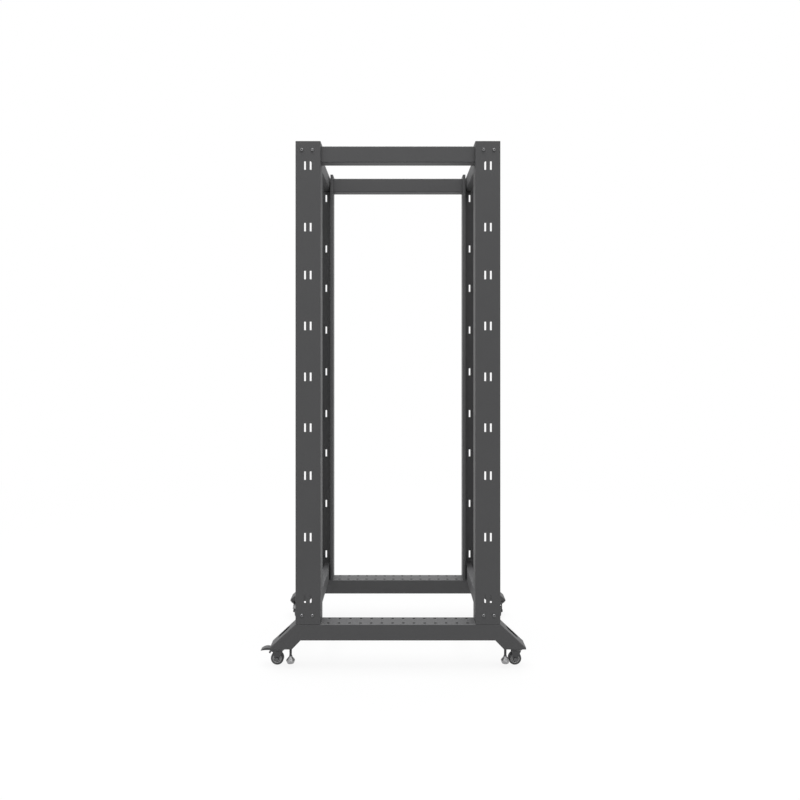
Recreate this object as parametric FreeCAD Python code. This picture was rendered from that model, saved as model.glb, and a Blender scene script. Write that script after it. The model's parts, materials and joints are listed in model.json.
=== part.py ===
import FreeCAD, Part
import math
import os

from FreeCAD import Vector

# Four post open frame rack. All sizes are in mm.
# X runs from the front (-X) to the rear (+X), Y across the rack with the left side at +Y,
# and Z up from the floor. The origin is on the floor, midway between the four posts.

# Driving dimensions of the frame
RACK_WIDTH = 600.0
POST_SPAN = 800.0
SHEET = 2.0
BEND = 3.5
FLOOR_TO_RAIL_TOP = 175.0

# Posts: folded channels, open towards the middle of the rack
POST_SIDE = 98.0
POST_FLANGE = 75.0
POST_LIP = 12.0
RACK_UNITS = 42
UNIT_HEIGHT = 44.45
UNIT_HOLE_HEIGHTS = (6.35, 22.225, 38.1)
PATTERN_MARGIN = 9.05
MOUNTING_HOLE = 9.5
MOUNTING_HOLE_FROM_MOUTH = 7.55
STRAP_SLOT_WIDTH = 7.0
STRAP_SLOT_HEIGHT = 33.0
STRAP_SLOT_PITCH = 22.0
STRAP_SLOTS_FROM_EDGE = 48.5
STRAP_ROW_FIRST = 100.0
STRAP_ROW_PITCHES = (240.0, 240.0, 187.0, 198.5, 198.5, 198.5, 187.0, 240.0)

# Base rails: one on each side, with a splayed leg at each end
RAIL_HEIGHT = 64.0
LEG_TIP_REACH = 100.0
LEG_TIP_HEIGHT = 6.0
LEG_HEEL_BEYOND_POST = 14.0
ARCH_CORNER_INSIDE_POST = 19.0
RAIL_HOLE_PITCH = 42.0
RAIL_HOLE_COLUMNS = 14
RAIL_HOLE_ROWS_FROM_SIDE = (14.0, 62.0)
LEG_SLOT_LENGTH = 62.0
LEG_SLOT_WIDTH = 28.0
LEG_SLOT_FROM_SIDE = 50.0
LEG_SLOT_ALONG_LEG = 72.0

# Bars that tie the posts together
SIDE_BAR_WIDTH = 52.0
SIDE_BAR_HEIGHT = 64.0
SIDE_BAR_SETBACK = 13.0
SIDE_BAR_BELOW_TOP = 16.0
CROSSBAR_DEPTH = 27.0
CROSSBAR_HEIGHT = 60.0
CROSSBAR_FROM_LIP_SIDE = 17.5
CROSSBAR_END_PLATE = 70.0
CROSSBAR_BELOW_TOP = 4.0

# Foot plates, which carry a caster and a levelling foot in each leg
FOOT_PLATE = 4.0
FOOT_PLATE_END_GAP = 0.5
CASTER_BEYOND_POST = 70.0
CASTER_FROM_SIDE = 47.0
LEVELLER_BEYOND_POST = 21.0
LEVELLER_FROM_SIDE = 17.0
RUNNING_GAP = 0.05
END_GAP = 0.2

# Casters
WHEEL_RADIUS = 25.5
WHEEL_WIDTH = 20.0
TYRE_DEPTH = 8.0
TYRE_SHOULDER = 3.0
CASTER_TRAIL = 7.5
LEFT_CASTER_TURN = 90.0
KINGPIN_RADIUS = 5.0
KINGPIN_NUT_RADIUS = 8.0
KINGPIN_NUT_HEIGHT = 6.0
RACE_RADIUS = 28.0
RACE_HEIGHT = 3.5
CROWN_RADIUS = 31.0
CROWN_NECK_RADIUS = 20.0
CROWN_HEIGHT = 16.0
CROWN_RIM = 6.0
TYRE_TO_CROWN = 6.3
CHEEK_THICKNESS = 2.5
CHEEK_GAP = 26.0
CHEEK_NOSE = 15.0
CHEEK_BACK = 20.0
AXLE_RADIUS = 4.0
AXLE_BOSS_RADIUS = 8.0
AXLE_HEAD_RADIUS = 6.5
AXLE_HEAD_THICKNESS = 4.0
HUB_BOSS_RADIUS = 7.0
HUB_WEB_INSET = 5.0
HUB_RIM = 3.0

# Brake pedals, on the two front casters. Each drop is from the crown's top.
PEDAL_PIVOT_BACK = 25.0
PEDAL_PIVOT_DROP = 13.3
PEDAL_PIN_RADIUS = 2.5
PEDAL_BARREL_RADIUS = 5.0
PEDAL_EAR_RADIUS = 6.0
PEDAL_WIDTH = 25.0
PEDAL_ROOT_DROP = 11.3
PEDAL_TIP_BACK = 72.0
PEDAL_TIP_DROP = 15.8
PEDAL_CREST_BACK = 52.0
PEDAL_CREST_DROP = 4.8
PEDAL_BELLY_BACK = 50.0
PEDAL_BELLY_DROP = 13.3
PEDAL_NOSE = 1.5
BRAKE_SHOE_BACK = 36.0
BRAKE_SHOE_ABOVE_AXLE = 18.5
BRAKE_SHOE_WIDTH = 16.0
BRAKE_SHOE_THICKNESS = 5.0

# Levelling feet
STUD_RADIUS = 5.0
STUD_ABOVE_NUT = 29.0
WELD_NUT_FLATS = 17.0
WELD_NUT_HEIGHT = 8.0
PAD_ABOVE_FLOOR = 18.0
PAD_SOLE_RADIUS = 13.5
PAD_RADIUS = 17.0
PAD_RIM_LOW = 9.0
PAD_RIM_HIGH = 12.0
PAD_NECK_RADIUS = 7.0
PAD_HEIGHT = 25.0
PAD_SOCKET_FLOOR = 6.0

# Places that follow from the driving dimensions
side_y = RACK_WIDTH / 2
mouth_y = side_y - POST_FLANGE
caster_y = side_y - CASTER_FROM_SIDE
leveller_y = side_y - LEVELLER_FROM_SIDE
post_x = POST_SPAN / 2
post_inner_x = post_x - POST_SIDE
rail_top = FLOOR_TO_RAIL_TOP
post_height = RACK_UNITS * UNIT_HEIGHT + 2 * PATTERN_MARGIN
post_top = rail_top + post_height
tip_x = post_x + LEG_TIP_REACH
axle_height = WHEEL_RADIUS
crown_bottom = 2 * WHEEL_RADIUS + TYRE_TO_CROWN
crown_top = crown_bottom + CROWN_HEIGHT
race_bottom = crown_top + END_GAP
sole_height = race_bottom + RACE_HEIGHT
foot_plate_top = sole_height + FOOT_PLATE
tip_top = sole_height + LEG_TIP_HEIGHT
leg_drop = rail_top - tip_top
leg_length = math.hypot(LEG_TIP_REACH, leg_drop)
heel_x = post_x + LEG_HEEL_BEYOND_POST
arch_x = post_x - ARCH_CORNER_INSIDE_POST
caster_x = post_x + CASTER_BEYOND_POST
leveller_x = post_x + LEVELLER_BEYOND_POST

pedal_pivot = Vector(-PEDAL_PIVOT_BACK, 0, crown_top - PEDAL_PIVOT_DROP)

X_AXIS = Vector(1, 0, 0)
Y_AXIS = Vector(0, 1, 0)
Z_AXIS = Vector(0, 0, 1)


def block(x_range, y_range, z_range):
    """Return the box between two x, two y and two z values."""
    lows = [min(r) for r in (x_range, y_range, z_range)]
    sizes = [abs(r[1] - r[0]) for r in (x_range, y_range, z_range)]
    return Part.makeBox(*sizes, Vector(*lows))


def rod(radius, start, end):
    """Return a round rod between two points."""
    along = end - start
    return Part.makeCylinder(radius, along.Length, start, along)


def side_prism(outline, y_range):
    """Extrude an outline of (x, z) points from the lower to the higher y of y_range."""
    points = [Vector(x, min(y_range), z) for x, z in outline]
    face = Part.Face(Part.makePolygon(points + points[:1]))
    return face.extrude(Y_AXIS * abs(y_range[1] - y_range[0]))


def offset_path(path, distance):
    """Return an open path moved to the left of its own direction, with mitred corners."""
    normals = []
    for (ax, ay), (bx, by) in zip(path, path[1:]):
        length = math.hypot(bx - ax, by - ay)
        normals.append(((ay - by) / length, (bx - ax) / length))
    moved = []
    for index, (px, py) in enumerate(path):
        before = normals[max(index - 1, 0)]
        after = normals[min(index, len(normals) - 1)]
        scale = distance / (1.0 + before[0] * after[0] + before[1] * after[1])
        moved.append((px + (before[0] + after[0]) * scale, py + (before[1] + after[1]) * scale))
    return moved


def round_corners(solid, corners, along, radius):
    """Round the straight edges that run along a direction through the given corner points."""
    chosen = []
    for edge in solid.Edges:
        if len(edge.Vertexes) != 2:
            continue
        direction = (edge.Vertexes[1].Point - edge.Vertexes[0].Point).normalize()
        if abs(direction.dot(along)) < 0.999:
            continue
        ends = [v.Point for v in edge.Vertexes]
        if any((end - corner).Length < 0.01 for end in ends for corner in corners):
            chosen.append(edge)
    return solid.makeFillet(radius, chosen)


def folded_sheet(skin, to_point, run):
    """Extrude a folded sheet section.

    skin is the section's outer path, with the metal on its left; to_point turns a path point into
    a place in the rack, and run is the vector that the section is drawn along.
    """
    inside = offset_path(skin, SHEET)
    outline = [to_point(u, v) for u, v in skin + inside[::-1]]
    solid = Part.Face(Part.makePolygon(outline + outline[:1])).extrude(run)
    along = Vector(run).normalize()
    solid = round_corners(solid, [to_point(*p) for p in skin[1:-1]], along, BEND)
    return round_corners(solid, [to_point(*p) for p in inside[1:-1]], along, BEND - SHEET)


def at_corner(shape, end, side):
    """Mirror a shape made for the rear left corner to the given end and side signs."""
    if end < 0:
        shape = shape.mirror(Vector(0, 0, 0), X_AXIS)
    if side < 0:
        shape = shape.mirror(Vector(0, 0, 0), Y_AXIS)
    return shape


def make_post():
    """Rear left post: a lipped channel with square mounting holes and pairs of strap slots."""
    skin = [
        (post_x, mouth_y),
        (post_x, side_y),
        (post_inner_x, side_y),
        (post_inner_x, mouth_y),
        (post_inner_x + POST_LIP, mouth_y),
    ]
    post = folded_sheet(skin, lambda x, y: Vector(x, y, rail_top), Z_AXIS * post_height)

    cutters = []
    hole_y = mouth_y + MOUNTING_HOLE_FROM_MOUTH
    half = MOUNTING_HOLE / 2
    for unit in range(RACK_UNITS):
        for hole_height in UNIT_HOLE_HEIGHTS:
            z = rail_top + PATTERN_MARGIN + unit * UNIT_HEIGHT + hole_height
            cutters.append(
                block(
                    (post_x - 2 * SHEET, post_x + SHEET),
                    (hole_y - half, hole_y + half),
                    (z - half, z + half),
                )
            )

    row = rail_top + STRAP_ROW_FIRST
    rows = [row]
    for pitch in STRAP_ROW_PITCHES:
        row += pitch
        rows.append(row)
    pair_x = post_x - STRAP_SLOTS_FROM_EDGE
    for row in rows:
        for x in (pair_x - STRAP_SLOT_PITCH / 2, pair_x + STRAP_SLOT_PITCH / 2):
            cutters.append(
                block(
                    (x - STRAP_SLOT_WIDTH / 2, x + STRAP_SLOT_WIDTH / 2),
                    (side_y - 2 * SHEET, side_y + SHEET),
                    (row - STRAP_SLOT_HEIGHT / 2, row + STRAP_SLOT_HEIGHT / 2),
                )
            )
    return post.cut(Part.makeCompound(cutters))


def make_leg_slot():
    """Cutter for the long rounded opening in the sloping top of the rear left leg."""
    width = LEG_SLOT_WIDTH
    straight = LEG_SLOT_LENGTH - width
    slot = Part.makeBox(straight, width, 4 * SHEET, Vector(-straight / 2, -width / 2, -2 * SHEET))
    for end in (-1, 1):
        foot = Vector(end * straight / 2, 0, -2 * SHEET)
        slot = slot.fuse(Part.makeCylinder(width / 2, 4 * SHEET, foot))
    slope = math.degrees(math.atan2(leg_drop, LEG_TIP_REACH))
    slot.rotate(Vector(0, 0, 0), Y_AXIS, slope)
    share = LEG_SLOT_ALONG_LEG / leg_length
    slot.translate(
        Vector(
            post_x + share * LEG_TIP_REACH,
            side_y - LEG_SLOT_FROM_SIDE,
            rail_top - share * leg_drop,
        )
    )
    return slot


def make_base_rail():
    """Left base rail: a pressed channel, open below, that splays down into a leg at each end."""
    slope = [(-tip_x, tip_top), (-post_x, rail_top), (post_x, rail_top), (tip_x, tip_top)]
    arch_top = rail_top - RAIL_HEIGHT
    under = [
        (tip_x, sole_height),
        (heel_x, sole_height),
        (arch_x, arch_top),
        (-arch_x, arch_top),
        (-heel_x, sole_height),
        (-tip_x, sole_height),
    ]
    rail = side_prism(slope + under, (mouth_y, side_y))

    # The long top edges are folds, so they are rounded
    top_edges = []
    for edge in rail.Edges:
        a, b = (v.Point for v in edge.Vertexes)
        lowest = min(a.z, b.z)
        if abs(a.y - b.y) < 0.01 and lowest > tip_top - 0.01:
            top_edges.append(edge)
    rail = rail.makeFillet(BEND, top_edges)

    # Hollow from below, leaving the sheet on the top, the slopes, the tips and both sides
    ceiling = offset_path([(-tip_x, 0.0)] + slope + [(tip_x, 0.0)], -SHEET)
    rail = rail.cut(side_prism(ceiling, (mouth_y + SHEET, side_y - SHEET)))

    cutters = []
    first = -(RAIL_HOLE_COLUMNS - 1) / 2 * RAIL_HOLE_PITCH
    half = MOUNTING_HOLE / 2
    for column in range(RAIL_HOLE_COLUMNS):
        x = first + column * RAIL_HOLE_PITCH
        for inset in RAIL_HOLE_ROWS_FROM_SIDE:
            y = side_y - inset
            cutters.append(
                block(
                    (x - half, x + half),
                    (y - half, y + half),
                    (rail_top - 2 * SHEET, rail_top + SHEET),
                )
            )
    rear_slot = make_leg_slot()
    cutters.append(rear_slot)
    cutters.append(rear_slot.mirror(Vector(0, 0, 0), X_AXIS))
    return rail.cut(Part.makeCompound(cutters))


def make_side_bar():
    """Left top bar: a closed rectangular tube between the two posts of one side."""
    high = side_y - SIDE_BAR_SETBACK
    top = post_top - SIDE_BAR_BELOW_TOP
    outside = block(
        (-post_inner_x, post_inner_x), (high - SIDE_BAR_WIDTH, high), (top - SIDE_BAR_HEIGHT, top)
    )
    edges = [e for e in outside.Edges if abs(e.Vertexes[0].X - e.Vertexes[1].X) > 1.0]
    outside = outside.makeFillet(BEND, edges)
    inside = block(
        (-post_inner_x, post_inner_x),
        (high - SIDE_BAR_WIDTH + SHEET, high - SHEET),
        (top - SIDE_BAR_HEIGHT + SHEET, top - SHEET),
    )
    return outside.cut(inside)


def make_crossbar(bottom):
    """Rear crossbar: a channel with its back to the rack's middle and a plate at each end."""
    inner_x = post_inner_x + CROSSBAR_FROM_LIP_SIDE
    outer_x = inner_x + CROSSBAR_DEPTH
    top = bottom + CROSSBAR_HEIGHT
    end_y = side_y - SHEET
    skin = [(outer_x, top), (inner_x, top), (inner_x, bottom), (outer_x, bottom)]
    bar = folded_sheet(skin, lambda x, z: Vector(x, -end_y, z), Y_AXIS * 2 * end_y)
    for side in (-1, 1):
        plate = block(
            (inner_x + BEND, inner_x + CROSSBAR_END_PLATE),
            (side * end_y, side * (end_y - SHEET)),
            (bottom + SHEET / 2, top - SHEET / 2),
        )
        bar = bar.fuse(plate)
    return bar.removeSplitter()


def make_foot_plate():
    """Rear left foot plate, with the caster's upper race and the levelling foot's weld nut."""
    plate = block(
        (heel_x + FOOT_PLATE_END_GAP, tip_x - SHEET - FOOT_PLATE_END_GAP),
        (mouth_y + SHEET, side_y - SHEET),
        (sole_height, foot_plate_top),
    )
    king = Vector(caster_x, caster_y, 0)
    stud = Vector(leveller_x, leveller_y, 0)
    sole = king + Z_AXIS * sole_height
    plate = plate.fuse(rod(RACE_RADIUS, king + Z_AXIS * race_bottom, sole))
    corner = WELD_NUT_FLATS / 2 / math.cos(math.pi / 6)
    points = []
    for step in range(7):
        angle = math.radians(30 + 60 * step)
        offset = Vector(corner * math.cos(angle), corner * math.sin(angle), foot_plate_top)
        points.append(stud + offset)
    nut = Part.Face(Part.makePolygon(points)).extrude(Z_AXIS * WELD_NUT_HEIGHT)
    plate = plate.fuse(nut).removeSplitter()
    for place, radius in ((king, KINGPIN_RADIUS), (stud, STUD_RADIUS)):
        hole_top = foot_plate_top + WELD_NUT_HEIGHT
        plate = plate.cut(rod(radius + RUNNING_GAP, place, place + Z_AXIS * (hole_top + SHEET)))
    return plate


def make_fork(braked):
    """Swivel fork about its kingpin at the origin, trailing towards -X."""
    rim_bottom = crown_top - CROWN_RIM
    hood = [
        (0.0, crown_bottom),
        (CROWN_NECK_RADIUS, crown_bottom),
        (CROWN_RADIUS, rim_bottom),
        (CROWN_RADIUS, crown_top),
        (0.0, crown_top),
    ]
    fork = revolve_about_z(hood)
    nut_bottom = foot_plate_top + END_GAP
    nut_top = nut_bottom + KINGPIN_NUT_HEIGHT
    pin = rod(KINGPIN_RADIUS, Z_AXIS * crown_bottom, Z_AXIS * (nut_top + END_GAP))
    nut = rod(KINGPIN_NUT_RADIUS, Z_AXIS * nut_bottom, Z_AXIS * nut_top)
    fork = fork.fuse([pin, nut])

    inner = CHEEK_GAP / 2
    outer = inner + CHEEK_THICKNESS
    boss_x = -CASTER_TRAIL
    cheek = [
        (-CHEEK_BACK, crown_bottom + SHEET),
        (CHEEK_NOSE, crown_bottom + SHEET),
        (CHEEK_NOSE, crown_bottom - SHEET),
        (boss_x + AXLE_BOSS_RADIUS, axle_height),
        (boss_x - AXLE_BOSS_RADIUS, axle_height),
        (-CHEEK_BACK, crown_bottom - CROWN_HEIGHT),
    ]
    pivot = pedal_pivot
    ear = [
        (-CHEEK_NOSE, crown_bottom + SHEET),
        (pivot.x, pivot.z + PEDAL_EAR_RADIUS),
        (pivot.x, pivot.z - PEDAL_EAR_RADIUS),
        (-CHEEK_NOSE, crown_bottom - CROWN_HEIGHT),
    ]
    for side in (-1, 1):
        y_range = (side * inner, side * outer)
        low = Y_AXIS * min(y_range)
        high = Y_AXIS * max(y_range)
        fork = fork.fuse(side_prism(cheek, y_range))
        boss = Vector(boss_x, 0, axle_height)
        fork = fork.fuse(rod(AXLE_BOSS_RADIUS, boss + low, boss + high))
        if braked:
            fork = fork.fuse(side_prism(ear, y_range))
            fork = fork.fuse(rod(PEDAL_EAR_RADIUS, pivot + low, pivot + high))
    if braked:
        room = PEDAL_BARREL_RADIUS + SHEET
        fork = fork.cut(
            block(
                (-CROWN_RADIUS * 2, -PEDAL_PIVOT_BACK + room),
                (-inner, inner),
                (0.0, crown_top + SHEET),
            )
        )
        fork = fork.fuse(rod(PEDAL_PIN_RADIUS, pivot - Y_AXIS * outer, pivot + Y_AXIS * outer))
    axle = Vector(boss_x, 0, axle_height)
    fork = fork.cut(rod(AXLE_RADIUS, axle - Y_AXIS * 2 * outer, axle + Y_AXIS * 2 * outer))
    return fork.removeSplitter()


def make_axle():
    """Axle bolt of a caster, with a plain head at each end."""
    outer = CHEEK_GAP / 2 + CHEEK_THICKNESS
    centre = Vector(-CASTER_TRAIL, 0, axle_height)
    tip = outer + AXLE_HEAD_THICKNESS
    axle = rod(AXLE_RADIUS, centre - Y_AXIS * tip, centre + Y_AXIS * tip)
    for side in (-1, 1):
        face = centre + Y_AXIS * side * outer
        axle = axle.fuse(rod(AXLE_HEAD_RADIUS, face, face + Y_AXIS * side * AXLE_HEAD_THICKNESS))
    return axle.removeSplitter()


def revolve_about_z(profile):
    """Turn a profile of (radius, z) points about the vertical through the origin."""
    points = [Vector(radius, 0, z) for radius, z in profile]
    return Part.Face(Part.makePolygon(points + points[:1])).revolve(Vector(0, 0, 0), Z_AXIS, 360)


def revolve_about_axle(profile):
    """Turn a profile of (radius, y) points about a caster's axle."""
    centre = Vector(-CASTER_TRAIL, 0, axle_height)
    points = [centre + Vector(0, y, radius) for radius, y in profile]
    return Part.Face(Part.makePolygon(points + points[:1])).revolve(centre, Y_AXIS, 360)


def make_wheel():
    """Wheel centre: a rim, a thin web and a long boss that runs on the axle."""
    rim = WHEEL_RADIUS - TYRE_DEPTH
    half = WHEEL_WIDTH / 2
    boss = CHEEK_GAP / 2 - END_GAP
    web = half - HUB_WEB_INSET
    bore = AXLE_RADIUS + RUNNING_GAP
    right = [(bore, boss), (HUB_BOSS_RADIUS, boss), (HUB_BOSS_RADIUS, web)]
    right += [(rim - HUB_RIM, web), (rim - HUB_RIM, half), (rim, half)]
    left = [(radius, -y) for radius, y in right[::-1]]
    return revolve_about_axle(right + left)


def make_tyre():
    """Tyre with broken shoulders, pressed over the wheel's rim."""
    rim = WHEEL_RADIUS - TYRE_DEPTH
    half = WHEEL_WIDTH / 2
    tread = half - TYRE_SHOULDER
    return revolve_about_axle(
        [
            (rim, -half),
            (WHEEL_RADIUS - TYRE_SHOULDER, -half),
            (WHEEL_RADIUS, -tread),
            (WHEEL_RADIUS, tread),
            (WHEEL_RADIUS - TYRE_SHOULDER, half),
            (rim, half),
        ]
    )


def make_pedal():
    """Brake pedal: a barrel on its pin, a crescent to step on behind it and the shoe below."""
    pivot = pedal_pivot
    barrel_half = CHEEK_GAP / 2 - END_GAP
    pedal = rod(PEDAL_BARREL_RADIUS, pivot - Y_AXIS * barrel_half, pivot + Y_AXIS * barrel_half)

    half = PEDAL_WIDTH / 2
    root_top = Vector(pivot.x, -half, crown_top - PEDAL_ROOT_DROP)
    root_low = Vector(pivot.x, -half, pivot.z - PEDAL_NOSE)
    crest = Vector(-PEDAL_CREST_BACK, -half, crown_top - PEDAL_CREST_DROP)
    belly = Vector(-PEDAL_BELLY_BACK, -half, crown_top - PEDAL_BELLY_DROP)
    tip_low = Vector(-PEDAL_TIP_BACK, -half, crown_top - PEDAL_TIP_DROP)
    tip_high = tip_low + Z_AXIS * PEDAL_NOSE
    outline = Part.Wire(
        [
            Part.Arc(root_top, crest, tip_high).toShape(),
            Part.makeLine(tip_high, tip_low),
            Part.Arc(tip_low, belly, root_low).toShape(),
            Part.makeLine(root_low, root_top),
        ]
    )
    pedal = pedal.fuse(Part.Face(outline).extrude(Y_AXIS * PEDAL_WIDTH))

    shoe_half = BRAKE_SHOE_WIDTH / 2
    shoe_z = axle_height + BRAKE_SHOE_ABOVE_AXLE
    shoe = [
        (pivot.x, pivot.z),
        (-BRAKE_SHOE_BACK, shoe_z),
        (-BRAKE_SHOE_BACK - BRAKE_SHOE_THICKNESS, shoe_z + BRAKE_SHOE_THICKNESS),
        (pivot.x - PEDAL_BARREL_RADIUS, pivot.z),
    ]
    pedal = pedal.fuse(side_prism(shoe, (-shoe_half, shoe_half)))
    bore = PEDAL_PIN_RADIUS + RUNNING_GAP
    pedal = pedal.cut(rod(bore, pivot - Y_AXIS * CHEEK_GAP, pivot + Y_AXIS * CHEEK_GAP))
    return pedal.removeSplitter()


def make_stud():
    """Threaded stud of a levelling foot, standing in the pad's socket."""
    foot = PAD_ABOVE_FLOOR + PAD_SOCKET_FLOOR
    top = foot_plate_top + WELD_NUT_HEIGHT + STUD_ABOVE_NUT
    return rod(STUD_RADIUS, Z_AXIS * foot, Z_AXIS * top)


def make_pad():
    """Pad of a levelling foot: a rim that tapers up to a neck, with a socket for the stud."""
    pad = revolve_about_z(
        [
            (0.0, 0.0),
            (PAD_SOLE_RADIUS, 0.0),
            (PAD_RADIUS, PAD_RIM_LOW),
            (PAD_RADIUS, PAD_RIM_HIGH),
            (PAD_NECK_RADIUS, PAD_HEIGHT),
            (STUD_RADIUS, PAD_HEIGHT),
            (STUD_RADIUS, PAD_SOCKET_FLOOR),
            (0.0, PAD_SOCKET_FLOOR),
        ]
    )
    return pad.translated(Z_AXIS * PAD_ABOVE_FLOOR)


def place_caster_piece(shape, end, side):
    """Turn a caster piece to its resting direction and move it to its corner.

    The right casters trail towards the front, and the left ones towards the rack's middle.
    """
    turned = shape.copy()
    if side > 0:
        turned.rotate(Vector(0, 0, 0), Z_AXIS, LEFT_CASTER_TURN)
    turned.translate(Vector(end * caster_x, side * caster_y, 0))
    return turned


def main():
    """Build every piece of the rack and write one STEP file for each."""
    os.makedirs("parts", exist_ok=True)
    pieces = {}

    post = make_post()
    foot_plate = make_foot_plate()
    fork = make_fork(False)
    braked_fork = make_fork(True)
    pedal = make_pedal()
    axle = make_axle()
    wheel = make_wheel()
    tyre = make_tyre()
    stud = make_stud()
    pad = make_pad()

    rail = make_base_rail()
    side_bar = make_side_bar()
    for side_name, side in (("left", 1), ("right", -1)):
        pieces[f"{side_name}_base_rail"] = at_corner(rail, 1, side)
        pieces[f"{side_name}_top_bar"] = at_corner(side_bar, 1, side)

    top_crossbar = make_crossbar(post_top - CROSSBAR_BELOW_TOP - CROSSBAR_HEIGHT)
    bottom_crossbar = make_crossbar(rail_top)
    for end_name, end in (("front", -1), ("rear", 1)):
        pieces[f"{end_name}_top_crossbar"] = at_corner(top_crossbar, end, 1)
        pieces[f"{end_name}_bottom_crossbar"] = at_corner(bottom_crossbar, end, 1)
        for side_name, side in (("left", 1), ("right", -1)):
            corner = f"{end_name}_{side_name}"
            pieces[f"{corner}_post"] = at_corner(post, end, side)
            pieces[f"{corner}_foot_plate"] = at_corner(foot_plate, end, side)
            caster = {"fork": fork, "axle": axle, "wheel": wheel, "tyre": tyre}
            if end < 0:
                caster["fork"] = braked_fork
                pieces[f"{corner}_brake_pedal"] = place_caster_piece(pedal, end, side)
            for part_name, shape in caster.items():
                pieces[f"{corner}_caster_{part_name}"] = place_caster_piece(shape, end, side)
            stud_place = Vector(end * leveller_x, side * leveller_y, 0)
            pieces[f"{corner}_levelling_stud"] = stud.translated(stud_place)
            pieces[f"{corner}_levelling_pad"] = pad.translated(stud_place)

    for node, shape in pieces.items():
        shape.exportStep(f"parts/{node}.step")


main()
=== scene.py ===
"""Looks of a four post open frame rack.

The finishes of its solids, the bolts, nuts and threads that the solids leave plain, and the
light, floor and camera that show it.
"""

import json
import logging
import math
from abc import ABC, abstractmethod
from dataclasses import dataclass, field
from enum import Enum, IntEnum
from typing import Iterable, Sequence

import bmesh
import bpy
from mathutils import Matrix, Vector


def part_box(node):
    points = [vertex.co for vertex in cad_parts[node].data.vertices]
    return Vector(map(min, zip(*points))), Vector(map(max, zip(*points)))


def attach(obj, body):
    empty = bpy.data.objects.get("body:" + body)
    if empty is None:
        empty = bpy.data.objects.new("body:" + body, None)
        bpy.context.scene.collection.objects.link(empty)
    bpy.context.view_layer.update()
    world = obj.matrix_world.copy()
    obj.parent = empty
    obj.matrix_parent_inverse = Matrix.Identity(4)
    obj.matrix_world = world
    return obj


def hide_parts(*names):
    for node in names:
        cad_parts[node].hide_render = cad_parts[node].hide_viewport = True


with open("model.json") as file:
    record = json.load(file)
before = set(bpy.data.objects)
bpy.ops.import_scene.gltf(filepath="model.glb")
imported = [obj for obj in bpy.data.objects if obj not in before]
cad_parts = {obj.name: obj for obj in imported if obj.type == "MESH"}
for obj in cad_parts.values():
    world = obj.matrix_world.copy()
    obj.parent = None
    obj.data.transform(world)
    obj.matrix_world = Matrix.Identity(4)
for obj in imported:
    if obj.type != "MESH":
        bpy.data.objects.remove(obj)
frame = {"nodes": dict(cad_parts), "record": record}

LOG = logging.getLogger("open_frame_rack")
MM = 0.001
WHITE = (1.0, 1.0, 1.0, 1.0)
ROUND_SIDES = 24
THREAD_SIDES = 16
HEXAGON_SIDES = 6
SHARP_ANGLE = math.radians(35.0)


# Shader building


class MathsSocket(IntEnum):
    """The Math node's inputs, which share one name."""

    FIRST = 0
    SECOND = 1


class ShaderMixSocket(IntEnum):
    """The Mix Shader node's inputs, two of which share one name."""

    SHARE = 0
    PLAIN = 1
    SEEN = 2


class ColourMixSocket(IntEnum):
    """The colour sockets of the Mix node, whose names its other kinds share."""

    SHARE = 0
    RESULT = 2
    LOW = 6
    HIGH = 7


class Value:
    """A shader socket that takes part in ordinary sums."""

    def __init__(self, graph: "Graph", socket: bpy.types.NodeSocket) -> None:
        """Wrap a socket.

        Args:
            graph: The node graph that new nodes go to.
            socket: The output socket to wrap.
        """
        self.graph = graph
        self.socket = socket

    def _maths(
        self, operation: str, first: "float | Value", second: "float | Value"
    ) -> "Value":
        """Add one Math node.

        Args:
            operation: The Math node's operation.
            first: A Value or a number.
            second: A Value or a number.

        Returns:
            The node's result.
        """
        inputs = {MathsSocket.FIRST: first, MathsSocket.SECOND: second}
        return self.graph.node("ShaderNodeMath", {"operation": operation}, inputs)

    def __add__(self, other: "float | Value") -> "Value":
        """Return self + other."""
        return self._maths("ADD", self, other)

    def __radd__(self, other: "float | Value") -> "Value":
        """Return other + self."""
        return self._maths("ADD", other, self)

    def __mul__(self, other: "float | Value") -> "Value":
        """Return self * other."""
        return self._maths("MULTIPLY", self, other)

    def __rmul__(self, other: "float | Value") -> "Value":
        """Return other * self."""
        return self._maths("MULTIPLY", other, self)


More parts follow.
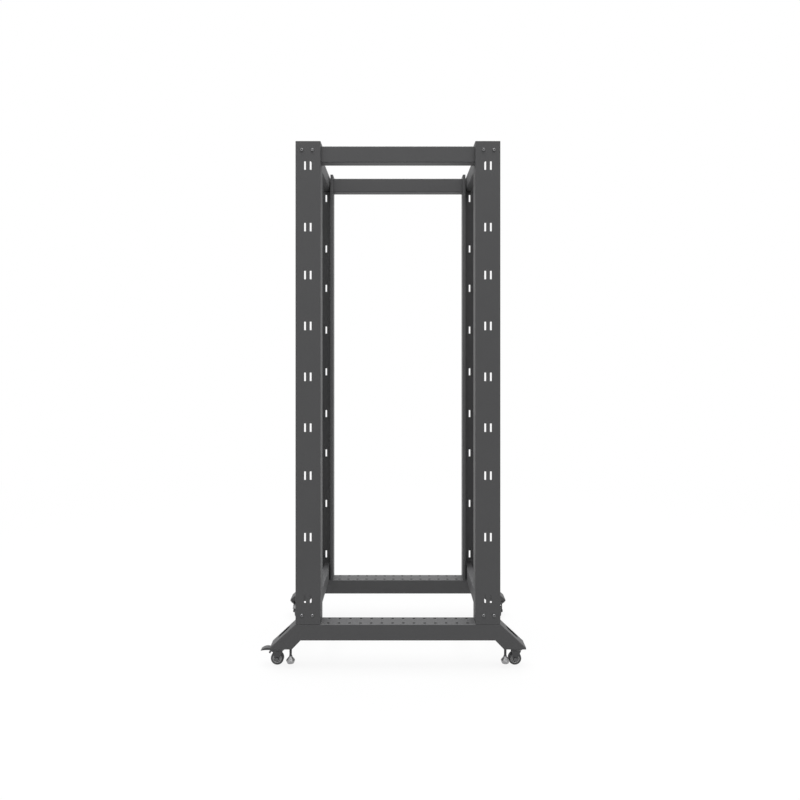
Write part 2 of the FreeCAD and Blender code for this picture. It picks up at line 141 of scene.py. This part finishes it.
class Graph:
    """A shader node tree that is built one node at a time."""

    def __init__(self, tree: bpy.types.NodeTree) -> None:
        """Take over a node tree.

        Args:
            tree: The node tree to add to.
        """
        self.tree = tree

    def node(
        self,
        kind: str,
        settings: dict[str, object] | None = None,
        inputs: dict[str | int, object] | None = None,
        output: int | str = 0,
    ) -> Value:
        """Add a node, set it up and join its sockets.

        Args:
            kind: The node's type.
            settings: Properties of the node, set before its sockets.
            inputs: Values or links, by socket name or number.
            output: The output to return.

        Returns:
            The chosen output, ready for sums.
        """
        made = self.tree.nodes.new(kind)
        for key, value in (settings or {}).items():
            setattr(made, key, value)
        for key, value in (inputs or {}).items():
            self.join(made.inputs[key], value)
        return Value(self, made.outputs[output])

    def join(self, socket: bpy.types.NodeSocket, value: object) -> None:
        """Link a Value to a socket, or set a plain value on it.

        Args:
            socket: The input socket.
            value: A Value, or what the socket's default becomes.
        """
        if isinstance(value, Value):
            self.tree.links.new(value.socket, socket)
        else:
            socket.default_value = value

    def white_where_seen(
        self, plain: Value, white_kind: str, output: str, share: float | Value
    ) -> None:
        """Turn a surface white for the camera, for reflections and through glass.

        Args:
            plain: The shader that lights the object.
            white_kind: The node type of the white shader.
            output: The name of the tree's output node.
            share: How much of the white shows, a number or a Value from 0 to 1.
        """
        white = self.node(white_kind, {}, {"Color": WHITE, "Strength": 1.0})
        camera, glossy, through = (
            self.node("ShaderNodeLightPath", output=f"Is {ray} Ray")
            for ray in ("Camera", "Glossy", "Transmission")
        )
        inputs = {
            ShaderMixSocket.SHARE: (camera + glossy + through) * share,
            ShaderMixSocket.PLAIN: plain,
            ShaderMixSocket.SEEN: white,
        }
        mixed = self.node("ShaderNodeMixShader", {}, inputs)
        self.join(self.tree.nodes[output].inputs["Surface"], mixed)


class Paint(Graph):
    """Builds one material's node tree around a Principled shader."""

    def __init__(self, name: str) -> None:
        """Start a material.

        Args:
            name: The material's name.
        """
        self.material = bpy.data.materials.new(name)
        self.material.use_nodes = True
        super().__init__(self.material.node_tree)
        self.shader = self.tree.nodes["Principled BSDF"]

    def set(self, **inputs: object) -> None:
        """Set or link the main shader's sockets, with underscores for spaces in their names."""
        for key, value in inputs.items():
            self.join(self.shader.inputs[key.replace("_", " ")], value)

    def place(self) -> Value:
        """Return the piece's own Object coordinates."""
        return self.node("ShaderNodeTexCoord", output="Object")

    def noise(self, size: float, detail: float = 2.0) -> Value:
        """Return soft noise from 0 to 1, in patches of a size in metres."""
        inputs = {"Vector": self.place(), "Scale": 1.0 / size, "Detail": detail}
        return self.node("ShaderNodeTexNoise", {}, inputs)

    def blend(self, share: Value, low: Sequence[float], high: Sequence[float]) -> Value:
        """Return a colour that runs from low to high by share.

        Args:
            share: How far it has run, from 0 to 1.
            low: Red, green and blue at 0.
            high: Red, green and blue at 1.

        Returns:
            The blended colour.
        """
        inputs = {
            ColourMixSocket.SHARE: share,
            ColourMixSocket.LOW: (*low, 1.0),
            ColourMixSocket.HIGH: (*high, 1.0),
        }
        mix = {"data_type": "RGBA"}
        return self.node("ShaderNodeMix", mix, inputs, output=ColourMixSocket.RESULT)

    def bump(self, height: Value, depth: float) -> Value:
        """Return a normal that stands height up by depth metres."""
        inputs = {"Height": height, "Distance": depth, "Strength": 1.0}
        return self.node("ShaderNodeBump", {}, inputs)


def shade(colour: Sequence[float], factor: float) -> list[float]:
    """Return a colour made lighter or darker by a factor."""
    return [part * factor for part in colour]


@dataclass(frozen=True)
class Finish(ABC):
    """What every finish has: its slot in the record, its colour and its roughness."""

    slot: str
    colour: tuple[float, float, float]
    roughness: float

    def make(self, name: str) -> bpy.types.Material:
        """Build the finish's material.

        Args:
            name: The material's name.

        Returns:
            The material.
        """
        paint = Paint(name)
        paint.set(**self.inputs(paint))
        return paint.material

    @abstractmethod
    def inputs(self, paint: Paint) -> dict[str, object]:
        """Return the main shader's inputs, built in a material's node tree."""


@dataclass(frozen=True)
class PowderCoat(Finish):
    """Baked powder coat with a fine orange-peel grain. Sizes in metres."""

    mottle: float = 0.05
    mottle_size: float = 0.09
    mottle_detail: float = 3.0
    gloss_spread: float = 0.08
    gloss_size: float = 0.03
    grain_size: float = 0.0011
    grain_detail: float = 1.0
    grain_depth: float = 0.00003

    def inputs(self, paint: Paint) -> dict[str, object]:
        """Build a mottled colour, an uneven gloss and the grain.

        Args:
            paint: The material's node tree.

        Returns:
            The main shader's inputs.
        """
        low = shade(self.colour, 1.0 - self.mottle)
        high = shade(self.colour, 1.0 + self.mottle)
        smoothest = self.roughness - self.gloss_spread / 2
        return {
            "Base Color": paint.blend(paint.noise(self.mottle_size, self.mottle_detail), low, high),
            "Roughness": smoothest + paint.noise(self.gloss_size) * self.gloss_spread,
            "Normal": paint.bump(paint.noise(self.grain_size, self.grain_detail), self.grain_depth),
        }


@dataclass(frozen=True)
class Plated(Finish):
    """Zinc plate with darker patches: a slight real cloudiness, and on the pads a deep one that is
    painted reflection. Nowhere smoother than its roughness. Sizes in metres.
    """

    dull_and_painted_reflection: float = 0.93
    dull_and_painted_reflection_size: float = 0.004
    gloss_spread: float = 0.12
    gloss_size: float = 0.006

    def inputs(self, paint: Paint) -> dict[str, object]:
        """Build a metal with an uneven gloss and darker patches, which are real cloudiness, and
        painted reflection where they run deep.

        Args:
            paint: The material's node tree.

        Returns:
            The main shader's inputs.
        """
        # Darker patches: slight real cloudiness, and on the pads painted reflection.
        dull_and_painted_reflection_colour = shade(self.colour, self.dull_and_painted_reflection)
        return {
            "Base Color": paint.blend(paint.noise(self.dull_and_painted_reflection_size), dull_and_painted_reflection_colour, self.colour),
            "Roughness": self.roughness + paint.noise(self.gloss_size) * self.gloss_spread,
            "Metallic": 1.0,
        }


@dataclass(frozen=True)
class Moulded(Finish):
    """Moulded rubber or nylon with a dull skin. Sizes in metres."""

    bloom: float = 1.15
    bloom_size: float = 0.008
    gloss_spread: float = 0.1
    gloss_size: float = 0.005
    grain_size: float = 0.0012
    grain_detail: float = 1.0
    grain_depth: float = 0.00002

    def inputs(self, paint: Paint) -> dict[str, object]:
        """Build a colour with paler patches, an uneven gloss and the skin's grain.

        Args:
            paint: The material's node tree.

        Returns:
            The main shader's inputs.
        """
        paler = shade(self.colour, self.bloom)
        smoothest = self.roughness - self.gloss_spread / 2
        return {
            "Base Color": paint.blend(paint.noise(self.bloom_size), self.colour, paler),
            "Roughness": smoothest + paint.noise(self.gloss_size) * self.gloss_spread,
            "Normal": paint.bump(paint.noise(self.grain_size, self.grain_detail), self.grain_depth),
        }


class Coat(Enum):
    """The rack's finishes, each in a material slot of the record; a slot's first is its solids'."""

    FRAME = PowderCoat("frame_steel", (0.0445, 0.0445, 0.046), roughness=0.6)
    FOOT_PLATE = PowderCoat("foot_plate_steel", (0.0445, 0.0445, 0.046), roughness=0.6)
    CASTER = PowderCoat("caster_steel", (0.045, 0.045, 0.047), roughness=0.42)
    PEDAL = PowderCoat("pedal_steel", (0.035, 0.035, 0.037), roughness=0.42)
    BOLT = Plated("frame_steel", (0.22, 0.22, 0.225), roughness=0.42)
    AXLE = Plated("axle_steel", (0.12, 0.12, 0.122), roughness=0.35)
    STUD = Plated("stud_steel", (0.22, 0.22, 0.222), roughness=0.35)
    # The pads' deep dark patches are painted reflection, standing in for the darker surroundings
    # that a plated dome would mirror.
    PAD = Plated("pad_steel", (0.38, 0.38, 0.385), roughness=0.2, dull_and_painted_reflection=0.55)
    WHEEL = Moulded("wheel_plastic", (0.32, 0.32, 0.323), roughness=0.45)
    TYRE = Moulded("tyre_rubber", (0.045, 0.045, 0.047), roughness=0.6)


class Finishes:
    """Makes each finish once and hands it out."""

    def __init__(self) -> None:
        """Make every finish."""
        self.made = {coat: coat.value.make(coat.name.lower()) for coat in Coat}
        self.by_slot: dict[str, bpy.types.Material] = {}
        for coat in Coat:
            self.by_slot.setdefault(coat.value.slot, self.made[coat])

    def of(self, coat: Coat) -> bpy.types.Material:
        """Return the material of a finish."""
        return self.made[coat]

    def dress_solids(self) -> None:
        """Give every CAD node the finish of its own slot."""
        for entry in frame["record"]["subparts"]:
            mesh = frame["nodes"][entry["node"]].data
            mesh.materials.clear()
            mesh.materials.append(self.by_slot[entry["material_slot"]])


# Shape building


class Facing(Enum):
    """The direction that a turned piece's top points in."""

    UP = (0.0, 0.0, 1.0)
    LEFT = (0.0, 1.0, 0.0)
    RIGHT = (0.0, -1.0, 0.0)
    REAR = (1.0, 0.0, 0.0)
    FRONT = (-1.0, 0.0, 0.0)


@dataclass(frozen=True)
class Ring:
    """One level of a turned piece: its number of sides, its corner radius and its height, in mm."""

    sides: int
    radius: float
    height: float


@dataclass(frozen=True)
class Turning:
    """A closed piece built up from rings, from its foot to its top."""

    rings: tuple[Ring, ...]

    def add_to(self, mesh: bmesh.types.BMesh, foot: Vector, facing: Facing) -> None:
        """Build the piece in a mesh.

        Args:
            mesh: The mesh to add to.
            foot: Where height 0 stands, in metres.
            facing: Where its top points.
        """
        upright = Vector(Facing.UP.value)
        turn = upright.rotation_difference(Vector(facing.value)).to_matrix()
        place = Matrix.Translation(foot) @ turn.to_4x4() @ Matrix.Scale(MM, 4)
        loops = []
        for ring in self.rings:
            level = place @ Matrix.Translation(upright * ring.height)
            made = bmesh.ops.create_circle(
                mesh, segments=ring.sides, radius=ring.radius, matrix=level
            )
            loops.append(list({edge for vert in made["verts"] for edge in vert.link_edges}))
        for below, above in zip(loops, loops[1:]):
            bmesh.ops.bridge_loops(mesh, edges=below + above)
        for loop in (loops[0], loops[-1]):
            bmesh.ops.contextual_create(mesh, geom=loop)


@dataclass(frozen=True)
class ButtonHead:
    """A domed bolt head with a hexagon socket.

    The radii are in mm. The rise is a share of the head's radius, the dome's levels are shares
    of that radius and of the rise, the taper is a share of the socket's radius and the socket's
    floor is a share of the rise.
    """

    radius: float
    socket_radius: float
    rise: float = 0.6
    dome: tuple[tuple[float, float], ...] = ((0.97, 0.0), (1.0, 0.2), (0.9, 0.66), (0.68, 1.0))
    socket_taper: float = 0.98
    socket_floor: float = 0.6

    def shape(self) -> Turning:
        """Build the head.

        Returns:
            The head, standing on height 0.
        """
        top = self.radius * self.rise
        floor_radius = self.socket_radius * self.socket_taper
        rings = [Ring(ROUND_SIDES, self.radius * wide, top * high) for wide, high in self.dome]
        rings.append(Ring(HEXAGON_SIDES, self.socket_radius, top))
        rings.append(Ring(HEXAGON_SIDES, floor_radius, top * self.socket_floor))
        return Turning(tuple(rings))


@dataclass(frozen=True)
class HexagonNut:
    """A hexagon nut or head with a chamfered top, on a flange if it has a flange radius.

    The width over the flats, the height and the radius are in mm. The crown is a share of the
    width, and the levels of the chamfer and the flange are shares of the height.
    """

    flats: float
    height: float
    flange_radius: float = 0.0
    crown: float = 0.46
    chamfer_level: float = 0.86
    flange_level: float = 0.14
    slope_level: float = 0.28

    def shape(self) -> Turning:
        """Build the nut.

        Returns:
            The nut, standing on height 0.
        """
        corner = self.flats / math.sqrt(3.0)
        base = [Ring(HEXAGON_SIDES, corner, 0.0)]
        if self.flange_radius:
            base = [
                Ring(ROUND_SIDES, self.flange_radius, 0.0),
                Ring(ROUND_SIDES, self.flange_radius, self.height * self.flange_level),
                Ring(HEXAGON_SIDES, corner, self.height * self.slope_level),
            ]
        chamfer = Ring(HEXAGON_SIDES, corner, self.height * self.chamfer_level)
        crown = Ring(ROUND_SIDES, self.flats * self.crown, self.height)
        return Turning((*base, chamfer, crown))


@dataclass(frozen=True)
class ThreadedRod:
    """A rod that is plain at its foot and threaded above, with the thread as a stack of ridges.

    The radius, length, plain length and pitch are in mm. The thread's depth and the levels of
    each ridge's root and crest are shares of the pitch, and the tip is a share of the root's
    radius.
    """

    radius: float
    length: float
    plain: float
    pitch: float
    depth: float = 0.6
    root_level: float = 0.05
    crest_level: float = 0.55
    tip: float = 0.9

    def shape(self) -> Turning:
        """Build the rod.

        Returns:
            The rod, standing on height 0.
        """
        root = self.radius - self.pitch * self.depth
        turns = int((self.length - self.plain) / self.pitch)
        rings = [Ring(THREAD_SIDES, self.radius, level) for level in (0.0, self.plain)]
        for turn in range(turns):
            foot = self.plain + turn * self.pitch
            rings.append(Ring(THREAD_SIDES, root, foot + self.pitch * self.root_level))
            rings.append(Ring(THREAD_SIDES, self.radius, foot + self.pitch * self.crest_level))
        rings.append(Ring(THREAD_SIDES, root, self.plain + turns * self.pitch))
        rings.append(Ring(THREAD_SIDES, root * self.tip, self.length))
        return Turning(tuple(rings))


def scene_object(mesh: bmesh.types.BMesh, name: str) -> bpy.types.Object:
    """Turn a mesh into an object in the scene.

    Args:
        mesh: The mesh, which is freed.
        name: The object's name.

    Returns:
        The object.
    """
    data = bpy.data.meshes.new(name)
    mesh.to_mesh(data)
    mesh.free()
    made = bpy.data.objects.new(name, data)
    bpy.context.scene.collection.objects.link(made)
    return made


@dataclass
class Piece:
    """A mesh that rides on one body of the rack."""

    name: str
    body: str
    coat: Coat
    mesh: bmesh.types.BMesh = field(default_factory=bmesh.new)

    def add(self, shape: Turning, foot: Sequence[float], facing: Facing) -> None:
        """Add a turned shape at a place in the rack."""
        shape.add_to(self.mesh, Vector(foot), facing)

    def place(self, finishes: Finishes, replaced: Iterable[str] = ()) -> None:
        """Finish the mesh and join it to its body.

        Args:
            finishes: The finishes to dress it from.
            replaced: CAD nodes that it stands for.
        """
        bmesh.ops.recalc_face_normals(self.mesh, faces=self.mesh.faces[:])
        made = scene_object(self.mesh, self.name)
        made.data.shade_smooth()
        made.data.set_sharp_from_angle(angle=SHARP_ANGLE)
        made.data.materials.append(finishes.of(self.coat))
        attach(made, self.body)
        if replaced:
            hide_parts(*replaced)
        LOG.info("%s: %d faces on %s", self.name, len(made.data.polygons), self.body)


# The rack's sub-assemblies


@dataclass(frozen=True)
class Corner:
    """One corner of the rack, seen from the front."""

    end: str
    side: str

    @property
    def name(self) -> str:
        """The corner's name in node and body names."""
        return f"{self.end}_{self.side}"

    @property
    def outward_x(self) -> float:
        """1 at the rear and -1 at the front."""
        return 1.0 if self.end == "rear" else -1.0

    @property
    def outward_y(self) -> float:
        """1 on the left and -1 on the right."""
        return 1.0 if self.side == "left" else -1.0

    @property
    def facing_side(self) -> Facing:
        """The direction out of the rack's side."""
        return Facing.LEFT if self.side == "left" else Facing.RIGHT

    @property
    def facing_middle(self) -> Facing:
        """The direction towards the rack's middle."""
        return Facing.RIGHT if self.side == "left" else Facing.LEFT


CORNERS = tuple(Corner(end, side) for end in ("front", "rear") for side in ("left", "right"))


@dataclass
class PostFixings:
    """Bolts through a post's side into the crossbars' end plates. Sizes in mm."""

    corner: Corner
    from_mounting_face: tuple[float, ...] = (25.0, 66.0)
    below_top: float = 34.0
    above_foot: float = 35.0
    head: ButtonHead = ButtonHead(radius=6.5, socket_radius=2.2)
    nut: HexagonNut = HexagonNut(flats=13.0, height=7.0, flange_radius=8.06)
    end_plate: float = 2.0
    sheet: float = 2.0

    def build(self, finishes: Finishes) -> None:
        """Build the bolt heads outside and the nuts inside.

        Args:
            finishes: The finishes to dress them from.
        """
        low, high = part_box(f"{self.corner.name}_post")
        sign_x, sign_y = self.corner.outward_x, self.corner.outward_y
        face_x = high.x if sign_x > 0 else low.x
        side_y = high.y if sign_y > 0 else low.y
        plate_y = side_y - sign_y * (self.sheet + self.end_plate) * MM
        heads = Piece(f"{self.corner.name}_post_bolts", "frame", Coat.BOLT)
        nuts = Piece(f"{self.corner.name}_post_nuts", "frame", Coat.AXLE)
        for z in (high.z - self.below_top * MM, low.z + self.above_foot * MM):
            for inset in self.from_mounting_face:
                x = face_x - sign_x * inset * MM
                heads.add(self.head.shape(), (x, side_y, z), self.corner.facing_side)
                nuts.add(self.nut.shape(), (x, plate_y, z), self.corner.facing_middle)
        heads.place(finishes)
        nuts.place(finishes)


@dataclass
class CasterFittings:
    """Axle bolt and kingpin nut of one caster. Sizes in mm."""

    corner: Corner
    axle_head: HexagonNut = HexagonNut(flats=12.0, height=4.0)
    axle_radius: float = 4.0
    kingpin_nut: HexagonNut = HexagonNut(flats=16.4, height=6.1)
    kingpin_above_nut: float = 0.2

    def build(self, finishes: Finishes) -> None:
        """Build both fittings.

        Args:
            finishes: The finishes to dress them from.
        """
        self._axle_bolt(finishes)
        self._kingpin_nut(finishes)

    def _axle_bolt(self, finishes: Finishes) -> None:
        """Build the axle bolt, which stands for the plain one.

        Args:
            finishes: The finishes to dress it from.
        """
        node = f"{self.corner.name}_caster_axle"
        low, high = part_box(node)
        middle = (low + high) / 2
        size = high - low
        facings = (Facing.LEFT, Facing.RIGHT) if size.y > size.x else (Facing.REAR, Facing.FRONT)
        seat = max(size.x, size.y) / 2 - self.axle_head.height * MM
        bolt = Piece(f"{self.corner.name}_axle_bolt", f"{self.corner.name}_fork", Coat.AXLE)
        for facing in facings:
            bolt.add(self.axle_head.shape(), middle + Vector(facing.value) * seat, facing)
        ends = (0.0, 2 * seat / MM)
        shank = Turning(tuple(Ring(ROUND_SIDES, self.axle_radius, end) for end in ends))
        bolt.add(shank, middle - Vector(facings[0].value) * seat, facings[0])
        bolt.place(finishes, [node])

    def _kingpin_nut(self, finishes: Finishes) -> None:
        """Build the hexagon nut around the fork's plain one, over the crown's middle.

        Args:
            finishes: The finishes to dress it from.
        """
        low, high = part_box(f"{self.corner.name}_caster_fork")
        middle = (low + high) / 2
        foot = high.z - (self.kingpin_nut.height + self.kingpin_above_nut) * MM
        nut = Piece(f"{self.corner.name}_kingpin_nut", f"{self.corner.name}_fork", Coat.AXLE)
        nut.add(self.kingpin_nut.shape(), (middle.x, middle.y, foot), Facing.UP)
        nut.place(finishes)


@dataclass
class LevellingFoot:
    """Screw thread and spanner hexagon of one levelling foot. Sizes in mm."""

    corner: Corner
    pitch: float = 1.5
    plain: float = 22.0
    hexagon: HexagonNut = HexagonNut(flats=13.0, height=3.0)

    def build(self, finishes: Finishes) -> None:
        """Build the screwed stud, which stands for the plain one, and its hexagon.

        Args:
            finishes: The finishes to dress them from.
        """
        node = f"{self.corner.name}_levelling_stud"
        low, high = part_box(node)
        pad_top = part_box(f"{self.corner.name}_levelling_pad")[1].z
        middle = (low + high) / 2
        body = f"{self.corner.name}_foot"
        radius = (high.x - low.x) / 2 / MM
        rod = ThreadedRod(radius, (high.z - low.z) / MM, self.plain, self.pitch)
        stud = Piece(f"{self.corner.name}_screwed_stud", body, Coat.STUD)
        stud.add(rod.shape(), (middle.x, middle.y, low.z), Facing.UP)
        stud.place(finishes, [node])
        hexagon = Piece(f"{self.corner.name}_foot_hexagon", body, Coat.PAD)
        hexagon.add(self.hexagon.shape(), (middle.x, middle.y, pad_top), Facing.UP)
        hexagon.place(finishes)


# Light, floor and camera


@dataclass(frozen=True)
class Lamp:
    """A square soft lamp, with its place, target and width in metres and its power in watts."""

    name: str
    place: tuple[float, float, float]
    target: tuple[float, float, float]
    width: float
    power: float

    def hang(self) -> None:
        """Add the lamp to the scene."""
        data = bpy.data.lights.new(self.name, "AREA")
        data.size = self.width
        data.energy = self.power
        place = Vector(self.place)
        turn = (Vector(self.target) - place).to_track_quat("-Z", "Y").to_matrix().to_4x4()
        lamp = bpy.data.objects.new(self.name, data)
        lamp.matrix_world = Matrix.Translation(place) @ turn
        bpy.context.scene.collection.objects.link(lamp)


@dataclass
class Studio:
    """A pale floor, soft light and the photograph's camera. Lengths in metres."""

    lamps: tuple[Lamp, ...] = (
        Lamp("top_light", (0.0, 0.0, 8.0), (0.0, 0.0, 0.0), width=8.0, power=1500.0),
        Lamp("front_light", (-1.5, -5.0, 2.6), (0.0, 0.0, 1.0), width=3.5, power=10.0),
    )
    world_strength: float = 0.5
    floor_size: float = 40.0
    floor_grey: float = 0.5
    floor_roughness: float = 0.9
    floor_white: float = 0.9
    floor_fade: tuple[float, float] = (1.2, 5.0)
    camera_distance: float = 2.733
    camera_height: float = 1.249
    sensor_mm: float = 36.0
    image_pixels: float = 800.0
    focal_pixels: float = 700.8
    centre_pixel: float = 397.94
    horizon_pixel: float = 349.0

    def build(self) -> None:
        """Build the whole studio."""
        self._world()
        self._floor()
        for lamp in self.lamps:
            lamp.hang()
        self._camera()
        bpy.context.scene.view_settings.view_transform = "Standard"
        LOG.info("studio: world, floor, lamps and camera")

    def _world(self) -> None:
        """Light from all round, white where the camera or a reflection sees it."""
        world = bpy.data.worlds.new("studio_world")
        bpy.context.scene.world = world
        world.use_nodes = True
        graph = Graph(world.node_tree)
        inputs = {"Color": WHITE, "Strength": self.world_strength}
        plain = graph.node("ShaderNodeBackground", {}, inputs)
        graph.white_where_seen(plain, "ShaderNodeBackground", "World Output", 1.0)

    def _floor(self) -> None:
        """A wide pale floor under the casters, which keeps the rack's shadow near it."""
        mesh = bmesh.new()
        bmesh.ops.create_grid(mesh, x_segments=1, y_segments=1, size=self.floor_size / 2)
        floor = scene_object(mesh, "studio_floor")
        paint = Paint("floor_white")
        grey = (self.floor_grey, self.floor_grey, self.floor_grey, 1.0)
        paint.set(Base_Color=grey, Roughness=self.floor_roughness)
        plain = Value(paint, paint.shader.outputs["BSDF"])
        floor.data.materials.append(paint.material)
        paint.white_where_seen(
            plain, "ShaderNodeEmission", "Material Output", self._floor_share(paint)
        )

    def _floor_share(self, paint: Paint) -> Value:
        """Build how much of the floor is white, which grows to all of it away from the rack.

        Args:
            paint: The floor's material.

        Returns:
            The share, from 0 to 1.
        """
        length = {"operation": "LENGTH"}
        inputs = {"Vector": paint.place()}
        away = paint.node("ShaderNodeVectorMath", length, inputs, output="Value")
        near, far = self.floor_fade
        levels = {
            "Value": away,
            "From Min": near,
            "From Max": far,
            "To Min": self.floor_white,
            "To Max": 1.0,
        }
        return paint.node("ShaderNodeMapRange", {"interpolation_type": "SMOOTHSTEP"}, levels)

    def _camera(self) -> None:
        """The photograph's level view of the rack's right side."""
        data = bpy.data.cameras.new("camera")
        data.sensor_width = self.sensor_mm
        data.lens = self.focal_pixels / self.image_pixels * self.sensor_mm
        data.shift_x = (self.image_pixels / 2 - self.centre_pixel) / self.image_pixels
        data.shift_y = (self.horizon_pixel - self.image_pixels / 2) / self.image_pixels
        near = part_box("front_right_post")[0].y
        place = Vector((0.0, near - self.camera_distance, self.camera_height))
        camera = bpy.data.objects.new("camera", data)
        camera.matrix_world = Matrix.Translation(place) @ Matrix.Rotation(math.pi / 2, 4, "X")
        bpy.context.scene.collection.objects.link(camera)
        bpy.context.scene.camera = camera


def main() -> None:
    """Build the rack's looks in order."""
    logging.basicConfig(level=logging.INFO, format="%(message)s")
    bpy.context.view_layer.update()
    finishes = Finishes()
    finishes.dress_solids()
    for corner in CORNERS:
        PostFixings(corner).build(finishes)
        CasterFittings(corner).build(finishes)
        LevellingFoot(corner).build(finishes)
    Studio().build()


if __name__ == "__main__":
    main()
